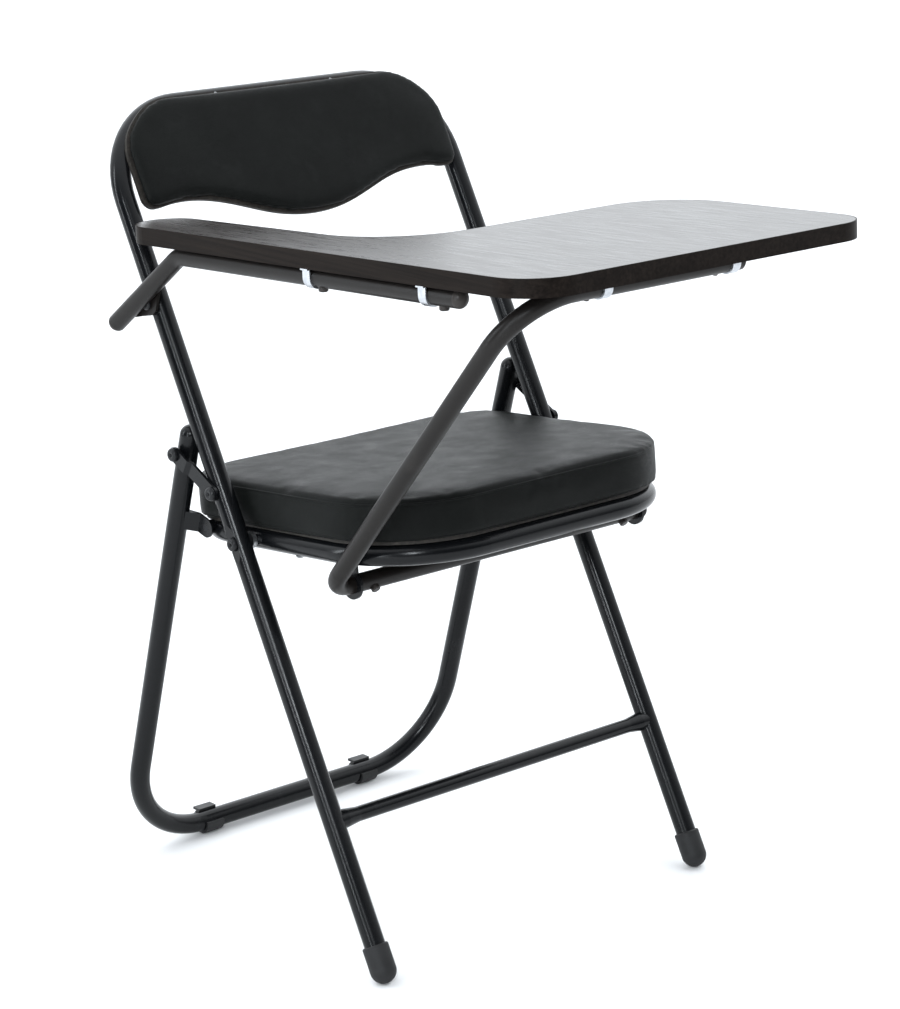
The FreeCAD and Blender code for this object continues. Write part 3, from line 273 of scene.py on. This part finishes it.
def stuffed(name, node, frame_matrix, thick_axis, flat_side, shrink, cap, pressure, voxel):
    """A padded piece grown from a CAD block: shrunk, remeshed, inflated as cloth, flat where it rests.

    thick_axis is the axis of the piece's own frame that runs through its thickness, and flat_side is
    -1 or 1, the side on which it lies against its board. cap limits how far a point may move.
    """
    block = frame["nodes"][node].data.copy()
    inverse = frame_matrix.inverted()
    block.transform(inverse)
    points = [vertex.co for vertex in block.vertices]
    low = Vector([min(point[i] for point in points) for i in range(3)])
    high = Vector([max(point[i] for point in points) for i in range(3)])
    rest_level = high[thick_axis] if flat_side > 0 else low[thick_axis]
    anchor = (low + high) / 2
    anchor[thick_axis] = rest_level
    factors = [(high[i] - low[i] - 2 * shrink[i]) / (high[i] - low[i]) for i in range(3)]
    for vertex in block.vertices:
        for i in range(3):
            vertex.co[i] = anchor[i] + (vertex.co[i] - anchor[i]) * factors[i]
    item = new_object(name, block)
    remesh = item.modifiers.new("even_mesh", "REMESH")
    remesh.mode = "VOXEL"
    remesh.voxel_size = voxel
    apply_modifiers(item)
    start = [vertex.co.copy() for vertex in item.data.vertices]

    cloth = item.modifiers.new("stuffing", "CLOTH")
    settings = cloth.settings
    settings.quality = 6
    settings.mass = 0.4
    settings.tension_stiffness = 30
    settings.compression_stiffness = 30
    settings.shear_stiffness = 12
    settings.bending_stiffness = 2.0
    settings.use_pressure = True
    settings.uniform_pressure_force = pressure
    settings.effector_weights.gravity = 0
    cloth.point_cache.frame_start = 1
    cloth.point_cache.frame_end = CLOTH_FRAMES
    for number in range(1, CLOTH_FRAMES + 1):
        bpy.context.scene.frame_set(number)
    apply_modifiers(item)
    bpy.context.scene.frame_set(1)

    for vertex, before in zip(item.data.vertices, start):
        move = vertex.co - before
        if move.length > 1e-9:
            move = move * (cap * math.tanh(move.length / cap) / move.length)
        vertex.co = before + move
        beyond = (vertex.co[thick_axis] - rest_level) * flat_side
        if beyond > 0:
            vertex.co[thick_axis] = rest_level
    rounding = item.modifiers.new("rounding", "SUBSURF")
    rounding.levels = 1
    rounding.render_levels = 1
    apply_modifiers(item)
    smooth(item)
    return item


def seam(name, item, level, radius):
    """A welt around a padded piece: a thin tube along the surface that rays find at one height."""
    places = [vertex.co for vertex in item.data.vertices]
    tree = BVHTree.FromPolygons(places, [face.vertices for face in item.data.polygons])
    centre = sum(places, Vector()) / len(places)
    centre[Z_AXIS] = level
    found = []
    for number in range(WELT_STEPS):
        angle = 2 * math.pi * number / WELT_STEPS
        outward = Vector((math.cos(angle), math.sin(angle), 0))
        hit = tree.ray_cast(centre + outward * BEYOND_ANY_PIECE, -outward)[0]
        found.append(hit - outward * WELT_SINK)
    curve = bpy.data.curves.new(name, "CURVE")
    curve.dimensions = "3D"
    curve.bevel_depth = radius
    curve.bevel_resolution = 2
    line = curve.splines.new("POLY")
    line.points.add(len(found) - 1)
    for point, place in zip(line.points, found):
        point.co = (*place, 1)
    line.use_cyclic_u = True
    rope = new_object(name + "_line", curve)
    bpy.context.view_layer.update()
    shaped = rope.evaluated_get(bpy.context.evaluated_depsgraph_get())
    mesh = bpy.data.meshes.new_from_object(shaped)
    bpy.data.objects.remove(rope)
    tube = new_object(name, mesh)
    smooth(tube)
    return tube


def finished(item, matrix, body, finish):
    """Move a piece from its own flat frame into the row frame, and let it ride on its body."""
    item.data.transform(matrix)
    paint(item, finish)
    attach(item, body)


seat_frame = local_frame(SEAT_PIVOT, SEAT_TILT)
cushion = stuffed(
    "seat_upholstery", "seat_cushion", seat_frame, thick_axis=Z_AXIS, flat_side=-1,
    shrink=(0.0012, 0.0020, 0.0012), cap=0.0030, pressure=1.3, voxel=0.005,
)
welts = [
    seam("seat_welt_top", cushion, level=0.0500, radius=0.0011),
    seam("seat_welt_bottom", cushion, level=0.0165, radius=0.0010),
]
finished(cushion, seat_frame, "seat", FINISHES["vinyl"])
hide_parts("seat_cushion")
for welt in welts:
    finished(welt, seat_frame, "seat", FINISHES["vinyl"])

back_frame = local_frame(Vector((0, 0, 0)), FRAME_LEAN)
pad = stuffed(
    "back_upholstery", "backrest_pad", back_frame, thick_axis=Y_AXIS, flat_side=1,
    shrink=(0.0012, 0.0006, 0.0012), cap=0.0022, pressure=1.2, voxel=0.004,
)
finished(pad, back_frame, "frame", FINISHES["vinyl"])
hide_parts("backrest_pad")


# ---------------------------------------------------------------- floor, light and camera
LAMP_TINT = (0.90, 0.955, 1.0)
SKY_TINT = (0.93, 0.965, 1.0)
SKY_DIRECTION = (0.33, 0.37, 0.868)  # where the ceiling is brightest


def floor():
    mesh = bpy.data.meshes.new("studio_floor")
    shape = bmesh.new()
    bmesh.ops.create_grid(shape, x_segments=1, y_segments=1, size=14)
    shape.to_mesh(mesh)
    shape.free()
    item = new_object("studio_floor", mesh)
    item.location.z = -0.0005
    finish = Finish("studio_floor", 0.6, specular=0.2)
    soft = finish.noise(2.5, 3)
    grey, pale = (0.80, 0.80, 0.80), (0.83, 0.83, 0.83)
    finish.link(finish.mixed(finish.spread(soft, 0, 1), grey, pale), "Base Color")
    paint(item, finish.material)


def softbox(name, place, aim, size, power):
    lamp = bpy.data.lights.new(name, "AREA")
    lamp.shape = "RECTANGLE"
    lamp.size, lamp.size_y = size
    lamp.energy = power
    lamp.color = LAMP_TINT
    item = bpy.data.objects.new(name, lamp)
    item.location = place
    item.rotation_euler = (Vector(aim) - Vector(place)).to_track_quat("-Z", "Y").to_euler()
    bpy.context.scene.collection.objects.link(item)


def surroundings():
    """A bright ceiling that leans over from behind the chair, and a dim room in front of it."""
    world = bpy.data.worlds.new("studio")
    bpy.context.scene.world = world
    world.use_nodes = True
    tree = world.node_tree
    background = tree.nodes["Background"]
    place = tree.nodes.new("ShaderNodeTexCoord").outputs["Generated"]
    aim = tree.nodes.new("ShaderNodeVectorMath")
    aim.operation = "DOT_PRODUCT"
    aim.inputs[1].default_value = SKY_DIRECTION
    tree.links.new(place, aim.inputs[0])
    shade = tree.nodes.new("ShaderNodeMapRange")
    shade.interpolation_type = "SMOOTHSTEP"
    limits = {"From Min": -0.15, "From Max": 0.85, "To Min": 0.01, "To Max": 2.3}
    for name, number in limits.items():
        shade.inputs[name].default_value = number
    tree.links.new(aim.outputs["Value"], shade.inputs["Value"])
    tree.links.new(shade.outputs["Result"], background.inputs["Strength"])
    background.inputs["Color"].default_value = (*SKY_TINT, 1)


floor()
surroundings()
softbox("strip", (-3.25, -0.75, 1.3), (0, 0.1, 0.45), (0.13, 2.3), 40)
softbox("side", (-2.7, 2.1, 1.4), (0, 0.1, 0.5), (0.3, 2.0), 30)
softbox("key", (-2.5, -2.2, 2.1), (0, 0.1, 0.45), (0.4, 0.9), 55)
bpy.context.scene.view_settings.view_transform = "Standard"

CAMERA_PLACE = Vector((-1.9102, -2.0035, 1.2429))
CAMERA_TARGET = Vector((-0.13341, 0.0, 0.46029))
FOCAL_LENGTH = 107.2
SENSOR_WIDTH = 36
LENS_SHIFT = (-0.0004, 0.0017)
lens = bpy.data.cameras.new("camera")
lens.lens = FOCAL_LENGTH
lens.sensor_width = SENSOR_WIDTH
lens.shift_x, lens.shift_y = LENS_SHIFT
camera = bpy.data.objects.new("camera", lens)
camera.location = CAMERA_PLACE
camera.rotation_euler = (CAMERA_TARGET - CAMERA_PLACE).to_track_quat("-Z", "Y").to_euler()
bpy.context.scene.collection.objects.link(camera)
bpy.context.scene.camera = camera
